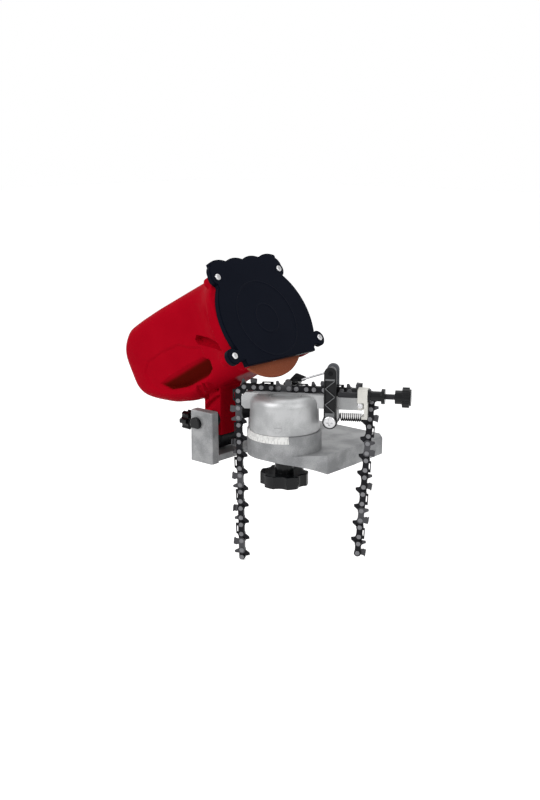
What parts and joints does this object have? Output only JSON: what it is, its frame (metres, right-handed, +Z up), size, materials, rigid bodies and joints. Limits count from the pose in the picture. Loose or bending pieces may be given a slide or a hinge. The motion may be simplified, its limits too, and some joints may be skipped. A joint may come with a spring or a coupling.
{
  "type": "chainsaw sharpener",
  "caption": "Bench chain grinder: tilting red motor head with a lobed black wheel guard, swivelling cast vice with chain stop and clamp, and a length of saw chain.",
  "frame": {"origin": "on the bench plane, midway between the two bench bolt holes in the base", "axes": "+X to the operator's right, +Y away from the operator, +Z up, square to the bench"},
  "size_m": [0.308, 0.1667, 0.2905],
  "materials": {
    "cast_aluminium": "sand cast, satin",
    "bracket_metal": "die cast, satin",
    "scale_white": "white band with dark ticks",
    "steel": "turned",
    "black_steel": "blackened",
    "bright_screws": "zinc plated",
    "housing_red": "satin moulded",
    "guard_black": "fine texture",
    "knob_black": "glossy moulded",
    "black_plastic": "moulded",
    "spring_steel": "drawn wire",
    "wheel_abrasive": "bonded abrasive",
    "paper_label": "printed blotter, blank",
    "copper": "segmented copper",
    "laminations": "stacked laminations",
    "carbon": "pressed carbon",
    "board_green": "printed board",
    "lever_grey": "moulded",
    "chain_black": "blued",
    "cutter_chrome": "chromed, worn",
    "rivet_steel": "peened"
  },
  "bodies": {
    "base": {"base_casting": "cast_aluminium", "angle_scale": "scale_white", "hinge_bolt": "steel", "hinge_cap": "knob_black", "hinge_nut": "bright_screws", "hinge_spacers": "black_plastic", "depth_spring": "spring_steel"},
    "depth_screw": {"depth_screw": "black_steel"},
    "depth_knob": {"depth_knob": "knob_black"},
    "head": {"housing_front": "housing_red", "housing_rear": "housing_red", "tilt_arm_front": "housing_red", "tilt_arm_rear": "housing_red", "stop_tail": "black_plastic", "arm_sleeve": "steel", "guard_cover": "guard_black", "guard_screws": "bright_screws", "housing_screws": "bright_screws", "motor_can": "laminations", "bearing_brackets": "cast_aluminium", "spindle_bearings": "steel", "brush_holders": "black_plastic", "carbon_brushes": "carbon", "rectifier_board": "board_green", "switch_case": "black_plastic", "cable_gland": "black_plastic"},
    "switch": {"switch_rocker": "knob_black"},
    "spindle": {"spindle_shaft": "steel", "armature_core": "laminations", "commutator": "copper", "rear_wheel_flange": "steel", "grinding_wheel": "wheel_abrasive", "wheel_label": "paper_label", "front_wheel_flange": "steel", "spindle_nut": "bright_screws"},
    "vice": {"vice_casting": "cast_aluminium", "fixed_rail": "steel", "lever_pivot_screw": "bright_screws", "lever_spacers": "black_plastic", "stop_bracket": "bracket_metal", "bracket_screw": "bright_screws", "stop_spring": "black_steel", "chain_drive_links": "chain_black", "chain_straps": "chain_black", "chain_cutters": "cutter_chrome", "chain_rivets": "rivet_steel"},
    "clamp_jaw": {"clamping_rail": "steel", "clamp_screw": "steel"},
    "clamp_knob": {"clamp_knob": "knob_black"},
    "swivel_stud": {"lock_stud": "steel"},
    "swivel_knob": {"lock_knob": "knob_black"},
    "stop_lever": {"front_lever": "black_plastic", "rear_lever": "lever_grey", "lever_top_pin": "steel"},
    "stop_link": {"stop_wire": "spring_steel"},
    "stop_pawl": {"stop_pawl": "black_plastic", "pawl_tip": "steel"},
    "stop_screw": {"adjusting_screw": "black_steel"},
    "stop_knob": {"adjusting_knob": "knob_black"},
    "lock_nut": {"lock_nut": "knob_black"}
  },
  "joints": [
    {"name": "head_tilt", "type": "hinge", "parent": "base", "child": "head", "pos_m": [-0.024, -0.066, 0.0375], "axis": [0, 1, 0], "range_deg": [-10, 1.8]},
    {"name": "spindle_spin", "type": "hinge", "parent": "head", "child": "spindle", "pos_m": [0.013, -0.066, 0.1315], "axis": [0.8704, 0, 0.4924], "continuous": true},
    {"name": "switch_rock", "type": "hinge", "parent": "head", "child": "switch", "pos_m": [-0.08438, -0.032, 0.10053], "axis": [-0.4924, 0, 0.8704], "range_deg": [0, 12]},
    {"name": "depth_screw_slide", "type": "slide", "parent": "base", "child": "depth_screw", "axis": [1, 0, 0], "range_m": [-0.004, 0]},
    {"name": "depth_knob_turn", "type": "hinge", "parent": "depth_screw", "child": "depth_knob", "pos_m": [-0.08, -0.066, 0.0225], "axis": [1, 0, 0], "range_deg": [-1442, 1]},
    {"name": "vice_swivel", "type": "hinge", "parent": "base", "child": "vice", "pos_m": [0.046, -0.066, 0.036], "axis": [0, 0, 1], "range_deg": [-65, 5]},
    {"name": "jaw_slide", "type": "slide", "parent": "vice", "child": "clamp_jaw", "axis": [-0.5, 0.866, 0], "range_m": [0, 0.0005]},
    {"name": "clamp_knob_turn", "type": "hinge", "parent": "clamp_jaw", "child": "clamp_knob", "pos_m": [0.026, -0.03136, 0.064], "axis": [-0.5, 0.866, 0], "range_deg": [-1, 227]},
    {"name": "lock_stud_slide", "type": "slide", "parent": "vice", "child": "swivel_stud", "axis": [0, 0, -1], "range_m": [0, 0.0025]},
    {"name": "lock_knob_turn", "type": "hinge", "parent": "swivel_stud", "child": "swivel_knob", "pos_m": [0.046, -0.066, -0.012], "axis": [0, 0, -1], "range_deg": [-1, 722]},
    {"name": "stop_screw_slide", "type": "slide", "parent": "vice", "child": "stop_screw", "axis": [0.866, 0.5, 0], "range_m": [-0.0005, 0.0035]},
    {"name": "stop_knob_turn", "type": "hinge", "parent": "stop_screw", "child": "stop_knob", "pos_m": [0.14701, -0.02096, 0.073], "axis": [0.866, 0.5, 0], "range_deg": [-226, 1576]},
    {"name": "stop_lever_tilt", "type": "hinge", "parent": "vice", "child": "stop_lever", "pos_m": [0.08445, -0.0438, 0.0474], "axis": [-0.5, 0.866, 0], "range_deg": [-1.2, 7.9]},
    {"name": "stop_link_swing", "type": "hinge", "parent": "stop_lever", "child": "stop_link", "pos_m": [0.08445, -0.0438, 0.0924], "axis": [-0.5, 0.866, 0], "range_deg": [-7.9, 1.2]},
    {"name": "pawl_flip", "type": "hinge", "parent": "stop_link", "child": "stop_pawl", "pos_m": [0.06072, -0.0575, 0.0832], "axis": [-0.5, 0.866, 0], "range_deg": [0, 60]},
    {"name": "lock_nut_turn", "type": "hinge", "parent": "vice", "child": "lock_nut", "pos_m": [0.12623, -0.03296, 0.073], "axis": [0.866, 0.5, 0], "range_deg": [0, 180]}
  ],
  "couplings": [
    {"joint": "depth_knob_turn", "follows": "depth_screw_slide", "rad_per_m": 6283.2},
    {"joint": "clamp_knob_turn", "follows": "jaw_slide", "rad_per_m": 7854},
    {"joint": "lock_knob_turn", "follows": "lock_stud_slide", "rad_per_m": 5026.5},
    {"joint": "stop_knob_turn", "follows": "stop_screw_slide", "rad_per_m": 7854},
    {"joint": "stop_lever_tilt", "follows": "stop_screw_slide", "rad_per_m": 39.062},
    {"joint": "stop_link_swing", "follows": "stop_screw_slide", "rad_per_m": -39.062}
  ]
}
